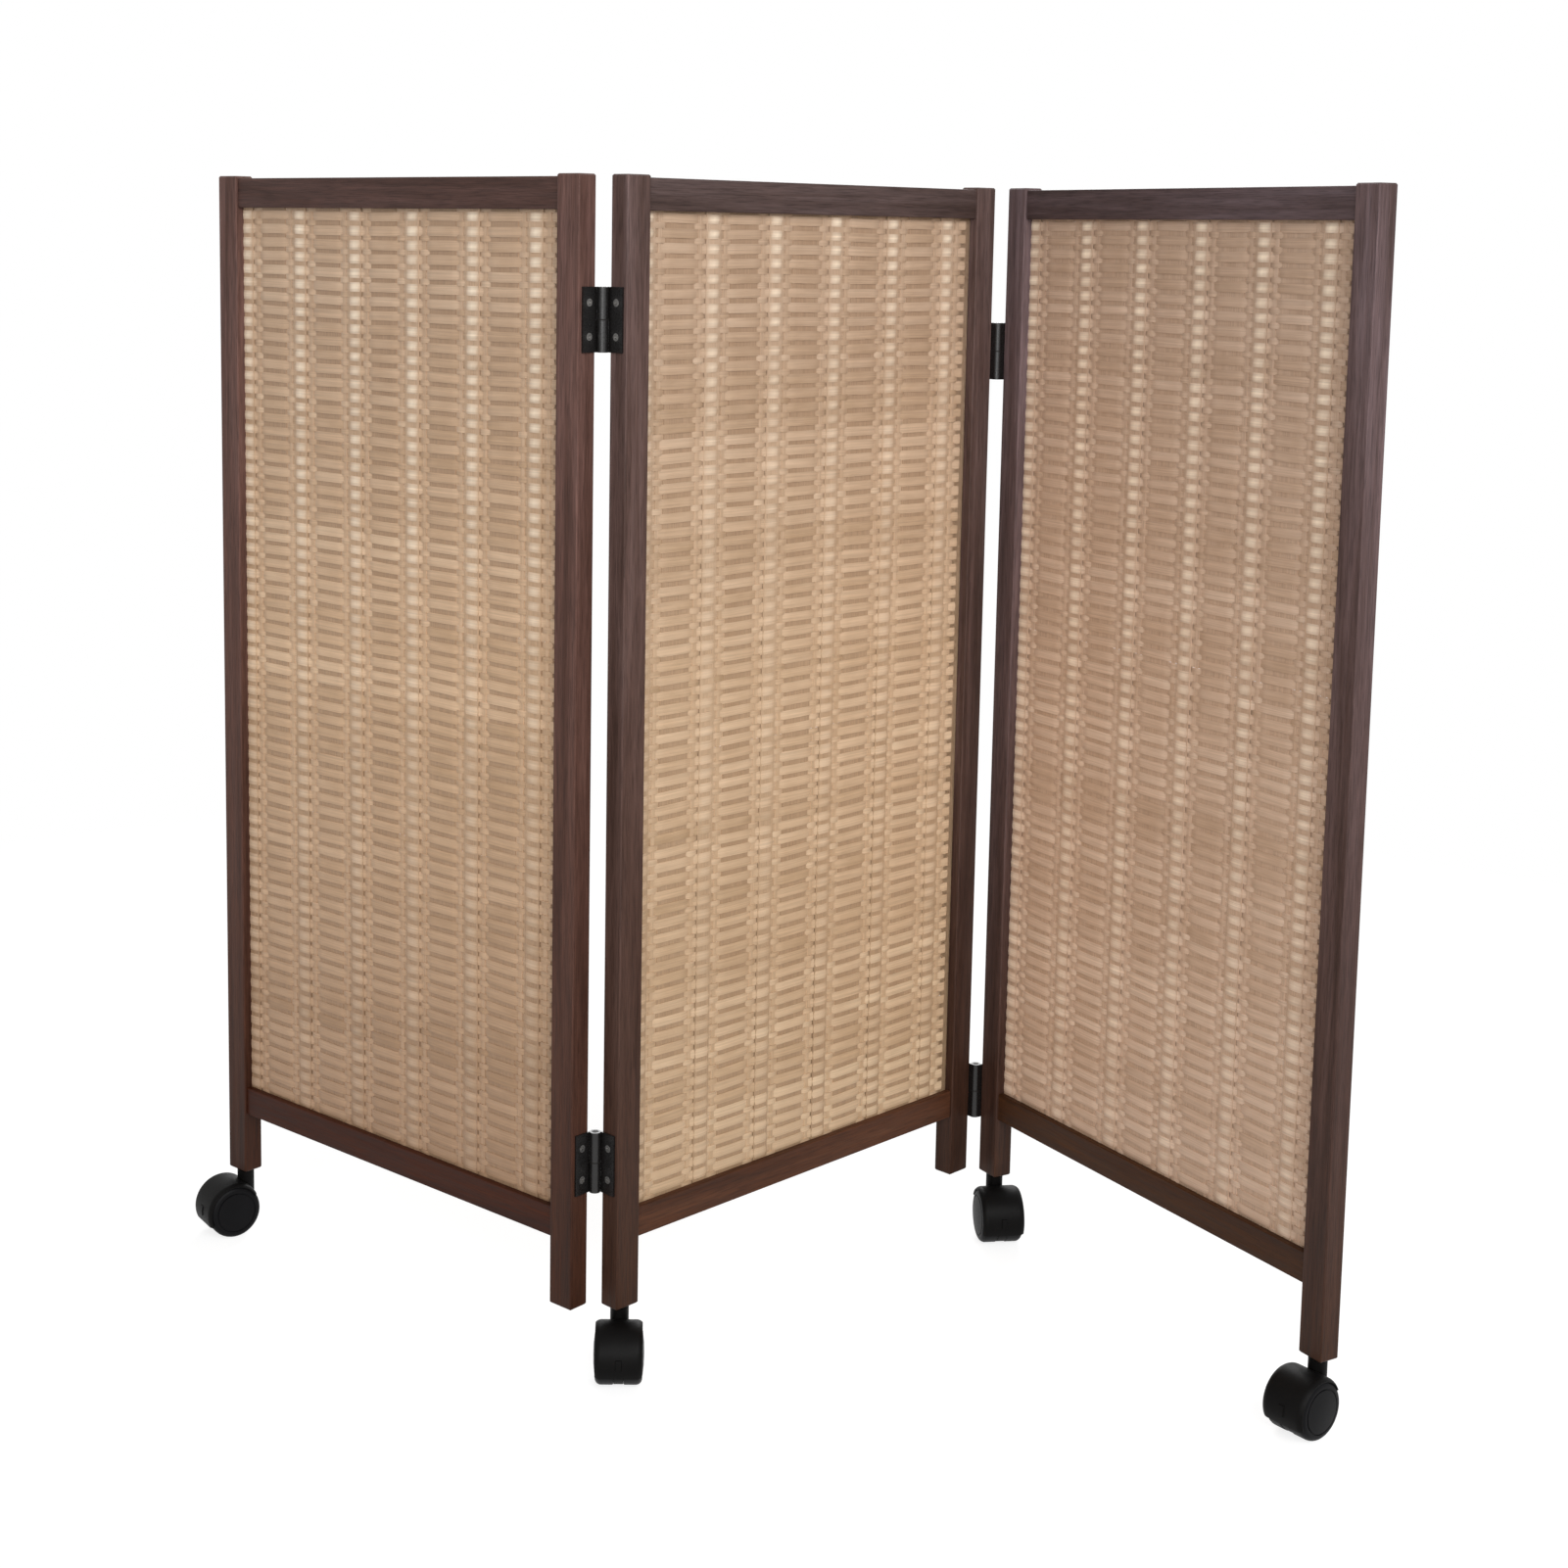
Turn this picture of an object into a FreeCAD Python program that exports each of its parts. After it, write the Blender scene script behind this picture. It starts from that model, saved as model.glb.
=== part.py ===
import FreeCAD, Part
import itertools
import math
import os

import Sketcher
from FreeCAD import Placement, Rotation, Vector

# Three-panel folding screen on four twin-wheel casters, in millimetres.
# +X runs to the right along the zigzag, +Y to the back, +Z up; the origin is
# on the floor, under the middle of the standing screen.

doc = FreeCAD.newDocument("folding_screen")
sheet = doc.addObject("Spreadsheet::Sheet", "sizes")
sheet_row = itertools.count(1)


# A size holds the sheet expression that drives a feature and its present number.
class Size:
    def __init__(self, text, number):
        self.text = text
        self.number = number

    def __add__(self, other):
        return Size(f"({self.text} + {other.text})", self.number + other.number)

    def __sub__(self, other):
        return Size(f"({self.text} - {other.text})", self.number - other.number)

    def __neg__(self):
        return Size(f"(0 - {self.text})", -self.number)

    def __mul__(self, factor):
        return Size(f"({self.text} * {factor})", self.number * factor)

    def __truediv__(self, factor):
        return Size(f"({self.text} / {factor})", self.number / factor)

    # half chord of a circle of this diameter, at the given depth below its rim
    def half_chord(self, depth):
        text = f"sqrt({depth.text} * ({self.text} - {depth.text}))"
        return Size(text, math.sqrt(depth.number * (self.number - depth.number)))


def size(name, number, meaning):
    row = next(sheet_row)
    sheet.set(f"A{row}", meaning)
    sheet.set(f"B{row}", str(number))
    sheet.setAlias(f"B{row}", name)
    sheet.recompute()
    return Size(f"sizes.{name}", float(getattr(sheet, name)))


zero = Size("0", 0.0)

# Panel frames
post_length = size("post_length", 900.0, "length of every post")
post_width = size("post_width", 24.0, "post width seen from the front")
post_depth = size("post_depth", 18.5, "post depth, front to back")
post_round = size("post_round", 1.2, "rounding of the long post edges")
post_end_chamfer = size("post_end_chamfer", 1.2, "chamfer round both post ends")
panel_width = size("panel_width", 440.0, "width of one panel over its posts")
rail_height = size("rail_height", 25.0, "height of both rails")
rail_depth = size("rail_depth", 14.0, "rail depth, set in from the post faces")
rail_round = size("rail_round", 0.8, "rounding of the long rail edges")
top_rail_drop = size("top_rail_drop", 2.0, "top rail below the post tops")
bottom_rail_lift = size("bottom_rail_lift", 55.0, "bottom rail above the post feet")
mat_thickness = size("mat_thickness", 1.8, "thickness of the woven mat between its ribs")
rib_thickness = size("rib_thickness", 3.4, "thickness of the woven mat at its ribs")
rib_width = size("rib_width", 18.0, "foot width of a rib, a column of raised strips")
rib_flank = size("rib_flank", 5.0, "width of a rib's sloping flank")
valley_width = size("valley_width", 12.0, "width of the sunk front face on both sides of a rib")
valley_flank = size("valley_flank", 3.0, "width of the slope that ends a valley")
valley_depth = size("valley_depth", 0.85, "depth of a valley below the mat's front face")
first_rib = size("first_rib", 75.8, "first rib from the left post")
last_rib = size("last_rib", 30.6, "last rib from the right post")
groove_depth = size("groove_depth", 6.0, "depth of the groove that holds the mat")
dowel_diameter = size("dowel_diameter", 6.0, "dowels in the rail ends")
dowel_in_post = size("dowel_in_post", 12.0, "dowel length in the post")
dowel_in_rail = size("dowel_in_rail", 14.0, "dowel length in the rail")
dowel_edge = size("dowel_edge", 5.5, "first dowel from the outer rail edge")
dowel_pitch = size("dowel_pitch", 8.5, "distance between two dowels of a joint")

# Two-knuckle hinges
hinge_height = size("hinge_height", 50.0, "height of a hinge")
near_upper_drop = size("near_upper_drop", 110.0, "upper hinge of the near fold below the post top")
near_lower_lift = size("near_lower_lift", 120.0, "lower hinge of the near fold above the post foot")
far_upper_drop = size("far_upper_drop", 143.0, "upper hinge of the far fold below the post top")
far_lower_lift = size("far_lower_lift", 76.0, "lower hinge of the far fold above the post foot")
leaf_thickness = size("leaf_thickness", 1.6, "leaf thickness")
leaf_width = size("leaf_width", 15.0, "leaf width on the post edge")
leaf_notch_gap = size("leaf_notch_gap", 0.4, "room round the other leaf's knuckle")
barrel_diameter = size("barrel_diameter", 9.0, "outer diameter of the knuckles")
pin_beyond_face = size("pin_beyond_face", 3.6, "pin axis beyond the panel face")
pin_diameter = size("pin_diameter", 5.6, "hinge pin diameter")
pin_clearance = size("pin_clearance", 0.05, "radial play of the upper knuckle on the pin")
washer_thickness = size("washer_thickness", 0.9, "washer between the knuckles")
washer_play = size("washer_play", 0.1, "play above the washer")

# Countersunk hinge screws
screw_length = size("screw_length", 11.0, "screw length with its head")
screw_diameter = size("screw_diameter", 3.2, "screw shank diameter")
screw_head = size("screw_head", 6.0, "screw head diameter")
screw_tip = size("screw_tip", 3.0, "length of the pointed end")
screw_spacing = size("screw_spacing", 26.0, "distance between the two screws of a leaf")
screw_inset = size("screw_inset", 7.0, "screw row from the free edge of the leaf")
slot_width = size("slot_width", 0.9, "width of the cross recess")
slot_length = size("slot_length", 3.4, "length of the cross recess")
slot_depth = size("slot_depth", 0.9, "depth of the cross recess")

# Twin-wheel casters
caster_height = size("caster_height", 58.0, "floor to the post feet")
wheel_diameter = size("wheel_diameter", 48.0, "wheel diameter")
wheel_width = size("wheel_width", 15.0, "width of one wheel at its rim")
wheel_dome = size("wheel_dome", 1.5, "bulge of the outer wheel face")
wheel_shoulder = size("wheel_shoulder", 5.0, "rounding of the outer tread edge")
wheel_gap = size("wheel_gap", 0.5, "gap between wheel and web")
wheel_bore_depth = size("wheel_bore_depth", 11.0, "depth of the blind wheel bore")
web_thickness = size("web_thickness", 7.0, "web between the two wheels")
trail = size("trail", 17.0, "axle behind the stem axis")
axle_diameter = size("axle_diameter", 6.0, "axle diameter")
axle_clearance = size("axle_clearance", 0.05, "radial play of the wheels on the axle")
axle_end_gap = size("axle_end_gap", 0.5, "axle end short of the blind bore")
hub_diameter = size("hub_diameter", 45.0, "round end of the web at the axle")
hood_gap = size("hood_gap", 0.5, "gap between tread and hood")
hood_wall = size("hood_wall", 1.5, "wall of the hood")
hood_start = size("hood_start", 24.0, "degrees the hood reaches below the axle level")
hood_sweep = size("hood_sweep", 180.0, "degrees the hood covers")
neck_diameter = size("neck_diameter", 15.0, "neck of the hood round the stem")
neck_foot = size("neck_foot", 34.5, "lower end of the neck above the floor")
flange_thickness = size("flange_thickness", 1.5, "socket flange under the post")
flange_play = size("flange_play", 0.5, "gap between flange and neck")
stem_diameter = size("stem_diameter", 8.0, "stem diameter")
stem_clearance = size("stem_clearance", 0.05, "radial play of the stem in its socket")
stem_in_hood = size("stem_in_hood", 14.0, "stem length held in the neck")
spigot_diameter = size("spigot_diameter", 5.0, "turned-down end of the stem in the neck")
stem_in_post = size("stem_in_post", 34.0, "stem length above the post foot")
stem_chamfer = size("stem_chamfer", 1.0, "chamfer at the stem top")
socket_diameter = size("socket_diameter", 11.0, "outer diameter of the stem socket")
socket_length = size("socket_length", 38.0, "socket length in the post")

# Standing pose, in degrees seen from above
middle_turn = size("middle_turn", 43.5, "heading of the middle panel from +X")
left_fold = size("left_fold", 94.0, "angle between left and middle panel, at the back")
right_fold = size("right_fold", 75.5, "angle between middle and right panel, in front")
left_end_heading = size("left_end_heading", 212.0, "trail of the left end caster")
front_heading = size("front_heading", 270.0, "trail of the caster at the near fold")
rear_heading = size("rear_heading", 276.0, "trail of the caster at the far fold")
right_end_heading = size("right_end_heading", 217.0, "trail of the right end caster")

# Lengths that follow from the sizes above
opening_width = panel_width - post_width * 2
rib_count = 5
rib_pitch = (opening_width - first_rib - last_rib) / (rib_count - 1)
rib_rise = (rib_thickness - mat_thickness) / 2
mat_low = bottom_rail_lift + rail_height - groove_depth
mat_high = post_length - top_rail_drop - rail_height + groove_depth
top_rail_top = post_length - top_rail_drop
rail_inset = (post_depth - rail_depth) / 2
near_hinges = {"upper": post_length - near_upper_drop, "lower": near_lower_lift}
far_hinges = {"upper": post_length - far_upper_drop, "lower": far_lower_lift}
barrel_radius = barrel_diameter / 2
pin_radius = pin_diameter / 2
notch = barrel_diameter.half_chord(leaf_thickness) + leaf_notch_gap
knuckle_height = (hinge_height - washer_thickness - washer_play) / 2
screw_row = leaf_width - screw_inset
screw_cone = (screw_head - screw_diameter) / 2
screw_in_wood = screw_length - leaf_thickness
wheel_radius = wheel_diameter / 2
web_half = web_thickness / 2
wheel_inner_face = web_half + wheel_gap
neck_top = caster_height - flange_thickness - flange_play
half_root = math.sqrt(0.5)


def origin_plane(body, role):
    for feature in body.Origin.OriginFeatures:
        if feature.Role == role:
            return feature
    raise RuntimeError(f"no plane {role}")


def new_body(label):
    body = doc.addObject("PartDesign::Body", label)
    body.Label = label
    return body


def new_sketch(body, role, shift=(zero, zero, zero), turn=None):
    sketch = body.newObject("Sketcher::SketchObject", "Sketch")
    sketch.AttachmentSupport = [(origin_plane(body, role), "")]
    sketch.MapMode = "FlatFace"
    base = Vector(*[value.number for value in shift])
    sketch.AttachmentOffset = Placement(base, turn or Rotation())
    for axis, value in zip("xyz", shift):
        sketch.setExpression(f"AttachmentOffset.Base.{axis}", value.text)
    return sketch


def fix_point(sketch, geometry, end, x, y):
    for kind, value in (("DistanceX", x), ("DistanceY", y)):
        rule = Sketcher.Constraint(kind, -1, 1, geometry, end, value.number)
        index = sketch.addConstraint(rule)
        sketch.setExpression(f"Constraints[{index}]", value.text)


def fix_radius(sketch, geometry, radius):
    index = sketch.addConstraint(Sketcher.Constraint("Radius", geometry, radius.number))
    sketch.setExpression(f"Constraints[{index}]", radius.text)


def add_circle(sketch, x, y, radius):
    centre = Vector(x.number, y.number, 0)
    geometry = sketch.addGeometry(Part.Circle(centre, Vector(0, 0, 1), radius.number))
    fix_point(sketch, geometry, 3, x, y)
    fix_radius(sketch, geometry, radius)


# A closed outline through corners (x, y). A corner may also name the arc that leads
# to the next corner, as (x, y, radius, centre x, centre y).
def add_outline(sketch, corners):
    ends = []
    for corner, following in zip(corners, corners[1:] + corners[:1]):
        start = Vector(corner[0].number, corner[1].number, 0)
        stop = Vector(following[0].number, following[1].number, 0)
        if len(corner) == 2:
            geometry = sketch.addGeometry(Part.LineSegment(start, stop))
            ends.append((geometry, 1, 2))
            continue
        radius = corner[2]
        centre = Vector(corner[3].number, corner[4].number, 0)
        ring = Part.Circle(centre, Vector(0, 0, 1), radius.number)
        left_turn = (start - centre).cross(stop - centre).z > 0
        first, last = (start, stop) if left_turn else (stop, start)
        arc = Part.ArcOfCircle(ring, ring.parameter(first), ring.parameter(last))
        geometry = sketch.addGeometry(arc)
        ends.append((geometry, 1, 2) if left_turn else (geometry, 2, 1))
        fix_radius(sketch, geometry, radius)
    for (geometry, _, stop), (following, start, _) in zip(ends, ends[1:] + ends[:1]):
        sketch.addConstraint(Sketcher.Constraint("Coincident", geometry, stop, following, start))
    for corner, (geometry, start, _) in zip(corners, ends):
        fix_point(sketch, geometry, start, corner[0], corner[1])


def add_rectangle(sketch, x_low, x_high, y_low, y_high):
    add_outline(sketch, [(x_low, y_low), (x_high, y_low), (x_high, y_high), (x_low, y_high)])


def pad(body, sketch, length, both_ways=False):
    feature = body.newObject("PartDesign::Pad", "Pad")
    feature.Profile = sketch
    feature.setExpression("Length", length.text)
    if both_ways:
        feature.SideType = "Symmetric"
    doc.recompute()
    return feature


def pocket(body, sketch, depth, reverse=False):
    before = body.Shape.Volume
    feature = body.newObject("PartDesign::Pocket", "Pocket")
    feature.Profile = sketch
    feature.setExpression("Length", depth.text)
    feature.Reversed = reverse
    doc.recompute()
    if body.Shape.Volume >= before:
        raise RuntimeError(f"a pocket in {body.Label} cuts nothing")
    return feature


def through_pocket(body, sketch):
    before = body.Shape.Volume
    feature = body.newObject("PartDesign::Pocket", "Pocket")
    feature.Profile = sketch
    feature.Type = "ThroughAll"
    feature.SideType = "Symmetric"
    doc.recompute()
    if body.Shape.Volume >= before:
        raise RuntimeError(f"a hole in {body.Label} cuts nothing")
    return feature


def revolve(body, sketch, angle=None, reverse=False):
    feature = body.newObject("PartDesign::Revolution", "Revolution")
    feature.Profile = sketch
    feature.ReferenceAxis = (sketch, ["V_Axis"])
    feature.Reversed = reverse
    feature.Angle = 360.0
    if angle:
        feature.setExpression("Angle", angle.text)
    doc.recompute()
    return feature


def dress(body, kind, base, chosen, amount):
    names = [f"Edge{n}" for n, edge in enumerate(base.Shape.Edges, 1) if chosen(edge)]
    feature = body.newObject(f"PartDesign::{kind}", kind)
    feature.Base = (base, names)
    feature.setExpression("Radius" if kind == "Fillet" else "Size", amount.text)
    doc.recompute()
    return feature


def runs_along(edge, axis):
    if not isinstance(edge.Curve, Part.Line):
        return False
    return abs(edge.tangentAt(edge.FirstParameter).dot(axis)) > 0.999


def cylinder(label, radius, height, placement=None):
    solid = doc.addObject("Part::Cylinder", label)
    solid.Label = label
    solid.setExpression("Radius", radius.text)
    solid.setExpression("Height", height.text)
    solid.Placement = placement or Placement()
    return solid


def cone(label, low_radius, high_radius, height, placement=None):
    solid = doc.addObject("Part::Cone", label)
    solid.setExpression("Radius1", low_radius.text)
    solid.setExpression("Radius2", high_radius.text)
    solid.setExpression("Height", height.text)
    solid.Placement = placement or Placement()
    return solid


def box(label, length, width, height, placement=None):
    solid = doc.addObject("Part::Box", label)
    solid.Label = label
    solid.setExpression("Length", length.text)
    solid.setExpression("Width", width.text)
    solid.setExpression("Height", height.text)
    solid.Placement = placement or Placement()
    return solid


def group(label, members):
    compound = doc.addObject("Part::Compound", label)
    compound.Label = label
    compound.Links = members
    return compound


def moved(x, y, z, turn=None):
    return Placement(Vector(x.number, y.number, z.number), turn or Rotation())


def turned(axis, degrees):
    return Rotation(axis, degrees)


along_x = Vector(1, 0, 0)
along_y = Vector(0, 1, 0)
along_z = Vector(0, 0, 1)
dowel_offsets = (dowel_edge, dowel_edge + dowel_pitch)
dowel_heights = [bottom_rail_lift + offset for offset in dowel_offsets]
dowel_heights += [top_rail_top - offset for offset in dowel_offsets]


def screw_heights(hinges):
    heights = []
    for centre in hinges.values():
        heights.append(centre - screw_spacing / 2)
        heights.append(centre + screw_spacing / 2)
    return heights


# A post stands with its outer edge face at x = 0 and its grooved face at x = post_width.
def make_post(label, hinges=None, screw_depth=None, caster=False):
    body = new_body(label)
    section = new_sketch(body, "XY_Plane")
    add_rectangle(section, zero, post_width, zero, post_depth)
    bar = pad(body, section, post_length)
    rounded = dress(body, "Fillet", bar, lambda edge: runs_along(edge, along_z), post_round)
    dress(
        body,
        "Chamfer",
        rounded,
        lambda edge: edge.BoundBox.ZLength < 0.001,
        post_end_chamfer,
    )
    groove = new_sketch(body, "YZ_Plane", (zero, zero, post_width))
    add_rectangle(
        groove,
        (post_depth - mat_thickness) / 2,
        (post_depth + mat_thickness) / 2,
        mat_low,
        mat_high,
    )
    pocket(body, groove, groove_depth)
    bores = new_sketch(body, "YZ_Plane", (zero, zero, post_width))
    for height in dowel_heights:
        add_circle(bores, post_depth / 2, height, dowel_diameter / 2)
    pocket(body, bores, dowel_in_post)
    if hinges:
        pilots = new_sketch(body, "YZ_Plane")
        for height in screw_heights(hinges):
            add_circle(pilots, screw_depth, height, screw_diameter / 2)
        pocket(body, pilots, screw_in_wood, reverse=True)
    if caster:
        seat = new_sketch(body, "XY_Plane")
        add_circle(seat, post_width / 2, post_depth / 2, socket_diameter / 2)
        pocket(body, seat, socket_length, reverse=True)
    return body


# A rail lies along x with its outer edge at z = 0 and its groove in the upper face.
def make_rail(label):
    body = new_body(label)
    section = new_sketch(body, "XY_Plane")
    add_rectangle(section, zero, opening_width, zero, rail_depth)
    bar = pad(body, section, rail_height)
    dress(body, "Fillet", bar, lambda edge: runs_along(edge, along_x), rail_round)
    groove = new_sketch(body, "XY_Plane", (zero, zero, rail_height))
    add_rectangle(
        groove,
        zero,
        opening_width,
        (rail_depth - rib_thickness) / 2,
        (rail_depth + rib_thickness) / 2,
    )
    pocket(body, groove, groove_depth)
    for end, inward in ((zero, True), (opening_width, False)):
        bores = new_sketch(body, "YZ_Plane", (zero, zero, end))
        for offset in dowel_offsets:
            add_circle(bores, rail_depth / 2, offset, dowel_diameter / 2)
        pocket(body, bores, dowel_in_rail, reverse=inward)
    return body


# A mat stands with its left edge at x = 0 and the crests of its front ribs at y = 0.
# Strips that pass in front make the ribs, and the front face sinks in on both sides of them.
def make_mat(label):
    body = new_body(label)
    width = opening_width + groove_depth * 2
    back_face = rib_rise + mat_thickness
    sunk_face = rib_rise + valley_depth
    front = [(zero, rib_rise)]
    back = [(zero, back_face)]
    for number in range(rib_count):
        left = groove_depth + first_rib + rib_pitch * number - rib_width / 2
        right = left + rib_width
        crest = (left + rib_flank, right - rib_flank)
        valley = (left - valley_width, right + valley_width)
        front += [(valley[0], rib_rise), (valley[0] + valley_flank, sunk_face)]
        front += [(left, sunk_face), (crest[0], zero), (crest[1], zero), (right, sunk_face)]
        front += [(valley[1] - valley_flank, sunk_face), (valley[1], rib_rise)]
        back += [(left, back_face), (crest[0], rib_thickness)]
        back += [(crest[1], rib_thickness), (right, back_face)]
    front.append((width, rib_rise))
    back.append((width, back_face))
    section = new_sketch(body, "XY_Plane")
    add_outline(section, front + back[::-1])
    pad(body, section, mat_high - mat_low)
    return body


# A leaf turns about the z axis. Its plate lies on the post at the -x side and its
# knuckle fills the lower half of the hinge.
def make_leaf(label, bore_play):
    body = new_body(label)
    outer_face = leaf_thickness - barrel_radius
    plate = new_sketch(body, "XY_Plane")
    free_edge = -(pin_beyond_face + leaf_width)
    add_rectangle(plate, -barrel_radius, outer_face, free_edge, -notch)
    pad(body, plate, hinge_height, both_ways=True)
    tongue = new_sketch(body, "XY_Plane", (zero, zero, -hinge_height / 2))
    add_rectangle(tongue, -barrel_radius, outer_face, -notch, zero)
    pad(body, tongue, knuckle_height)
    knuckle = new_sketch(body, "XY_Plane", (zero, zero, -hinge_height / 2))
    add_circle(knuckle, zero, zero, barrel_radius)
    pad(body, knuckle, knuckle_height)
    bore = new_sketch(body, "XY_Plane")
    add_circle(bore, zero, zero, pin_radius + bore_play)
    through_pocket(body, bore)
    holes = new_sketch(body, "YZ_Plane", (zero, zero, outer_face))
    for height in (-screw_spacing / 2, screw_spacing / 2):
        add_circle(holes, -(pin_beyond_face + screw_row), height, screw_diameter / 2)
    doc.recompute()
    before = body.Shape.Volume
    sunk = body.newObject("PartDesign::Hole", "Hole")
    sunk.Profile = holes
    sunk.DepthType = "ThroughAll"
    sunk.HoleCutType = "Countersink"
    sunk.HoleCutCustomValues = True
    sunk.HoleCutCountersinkAngle = 90.0
    sunk.setExpression("Diameter", screw_diameter.text)
    sunk.setExpression("HoleCutDiameter", screw_head.text)
    doc.recompute()
    if body.Shape.Volume >= before:
        raise RuntimeError(f"the screw holes in {label} cut nothing")
    return body


# A screw points down -z, its flat head at z = 0.
def make_screw(label):
    head_end = -screw_cone
    shank = screw_length - screw_cone - screw_tip
    shank_end = head_end - shank
    head = cone(label + "_head", screw_diameter / 2, screw_head / 2, screw_cone)
    head.Placement = moved(zero, zero, head_end)
    rod = cylinder(label + "_rod", screw_diameter / 2, shank, moved(zero, zero, shank_end))
    tip = cone(label + "_tip", screw_diameter / 8, screw_diameter / 2, screw_tip)
    tip.Placement = moved(zero, zero, -screw_length)
    whole = doc.addObject("Part::MultiFuse", label + "_whole")
    whole.Shapes = [head, rod, tip]
    corner = moved(-slot_length / 2, -slot_width / 2, -slot_depth)
    slots = [box(label + "_slot_a", slot_length, slot_width, slot_depth, corner)]
    corner = moved(-slot_width / 2, -slot_length / 2, -slot_depth)
    slots.append(box(label + "_slot_b", slot_width, slot_length, slot_depth, corner))
    recess = doc.addObject("Part::MultiFuse", label + "_recess")
    recess.Shapes = slots
    screw = doc.addObject("Part::Cut", label)
    screw.Base = whole
    screw.Tool = recess
    return screw


def make_washer(label):
    washer = doc.addObject("Part::Cut", label)
    washer.Base = cylinder(label + "_disc", barrel_radius, washer_thickness)
    washer.Tool = cylinder(label + "_bore", pin_radius, washer_thickness)
    return washer


# Shoulder of the hood beside one wheel, as arcs about the centre of the tread rounding.
shoulder_y = wheel_inner_face + wheel_width - wheel_shoulder
shoulder_r = wheel_radius - wheel_shoulder
hood_in = wheel_shoulder + hood_gap
hood_out = hood_in + hood_wall
hood_inner_radius = wheel_radius + hood_gap
hood_outer_radius = hood_inner_radius + hood_wall


# A caster stands with its stem on the z axis, the floor at z = 0 and its trail along +x.
def make_hood(label):
    body = new_body(label)
    axle_place = (trail, zero, wheel_radius)
    tilt = turned(along_y, hood_start.number)
    profile = new_sketch(body, "XY_Plane", axle_place, tilt)
    inner_lip = shoulder_r + hood_in * half_root
    inner_side = shoulder_y + hood_in * half_root
    outer_lip = shoulder_r + hood_out * half_root
    outer_side = shoulder_y + hood_out * half_root
    root = axle_diameter * 0.75
    add_outline(
        profile,
        [
            (root, -web_half),
            (hood_inner_radius, -web_half),
            (hood_inner_radius, -shoulder_y, hood_in, shoulder_r, -shoulder_y),
            (inner_lip, -inner_side),
            (outer_lip, -outer_side, hood_out, shoulder_r, -shoulder_y),
            (hood_outer_radius, -shoulder_y),
            (hood_outer_radius, shoulder_y, hood_out, shoulder_r, shoulder_y),
            (outer_lip, outer_side),
            (inner_lip, inner_side, hood_in, shoulder_r, shoulder_y),
            (hood_inner_radius, shoulder_y),
            (hood_inner_radius, web_half),
            (root, web_half),
        ],
    )
    revolve(body, profile, hood_sweep, reverse=True)
    hub = new_sketch(body, "XZ_Plane")
    add_circle(hub, trail, wheel_radius, hub_diameter / 2)
    pad(body, hub, web_thickness, both_ways=True)
    neck = new_sketch(body, "XY_Plane", (zero, zero, neck_foot))
    add_circle(neck, zero, zero, neck_diameter / 2)
    pad(body, neck, neck_top - neck_foot)
    spaces = new_sketch(body, "XY_Plane", axle_place)
    add_rectangle(spaces, root, hood_inner_radius, web_half, shoulder_y)
    add_rectangle(spaces, root, hood_inner_radius, -shoulder_y, -web_half)
    before = body.Shape.Volume
    clear = body.newObject("PartDesign::Groove", "Groove")
    clear.Profile = spaces
    clear.ReferenceAxis = (spaces, ["V_Axis"])
    clear.Angle = 360.0
    doc.recompute()
    if body.Shape.Volume >= before:
        raise RuntimeError(f"the wheel spaces in {label} cut nothing")
    axle_hole = new_sketch(body, "XZ_Plane")
    add_circle(axle_hole, trail, wheel_radius, axle_diameter / 2)
    through_pocket(body, axle_hole)
    stem_hole = new_sketch(body, "XY_Plane", (zero, zero, neck_top))
    add_circle(stem_hole, zero, zero, spigot_diameter / 2)
    pocket(body, stem_hole, stem_in_hood)
    return body


# A wheel turns about the y axis, its inner face at y = 0 and its domed face outward.
def make_wheel(label):
    body = new_body(label)
    bore = axle_diameter / 2 + axle_clearance
    profile = new_sketch(body, "XY_Plane")
    shoulder = wheel_width - wheel_shoulder
    rim = wheel_radius - wheel_shoulder
    cap = wheel_width + wheel_dome
    add_outline(
        profile,
        [
            (bore, zero),
            (wheel_radius, zero),
            (wheel_radius, shoulder, wheel_shoulder, rim, shoulder),
            (rim, wheel_width),
            (rim / 2, cap),
            (zero, cap),
            (zero, wheel_bore_depth),
            (bore, wheel_bore_depth),
        ],
    )
    revolve(body, profile)
    return body


def make_stem(label):
    body = new_body(label)
    low = neck_top - stem_in_hood
    high = caster_height + stem_in_post
    radius = stem_diameter / 2
    spigot = spigot_diameter / 2
    profile = new_sketch(body, "XZ_Plane")
    add_outline(
        profile,
        [
            (zero, low),
            (spigot, low),
            (spigot, neck_top),
            (radius, neck_top),
            (radius, high - stem_chamfer),
            (radius - stem_chamfer, high),
            (zero, high),
        ],
    )
    revolve(body, profile)
    return body


def make_socket(label):
    body = new_body(label)
    low = caster_height - flange_thickness
    high = caster_height + socket_length
    bore = stem_diameter / 2 + stem_clearance
    profile = new_sketch(body, "XZ_Plane")
    add_outline(
        profile,
        [
            (bore, low),
            (neck_diameter / 2, low),
            (neck_diameter / 2, caster_height),
            (socket_diameter / 2, caster_height),
            (socket_diameter / 2, high),
            (bore, high),
        ],
    )
    revolve(body, profile)
    return body


# Panels: x along the panel from its left edge, y from front to back, z from the post feet.
pin_back = post_depth + pin_beyond_face
pin_front = -pin_beyond_face
pin_left = -barrel_radius
pin_right = panel_width + barrel_radius
middle_heading = middle_turn.number
left_heading = middle_heading - (180.0 - left_fold.number)
right_heading = middle_heading - (180.0 - right_fold.number)


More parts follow.
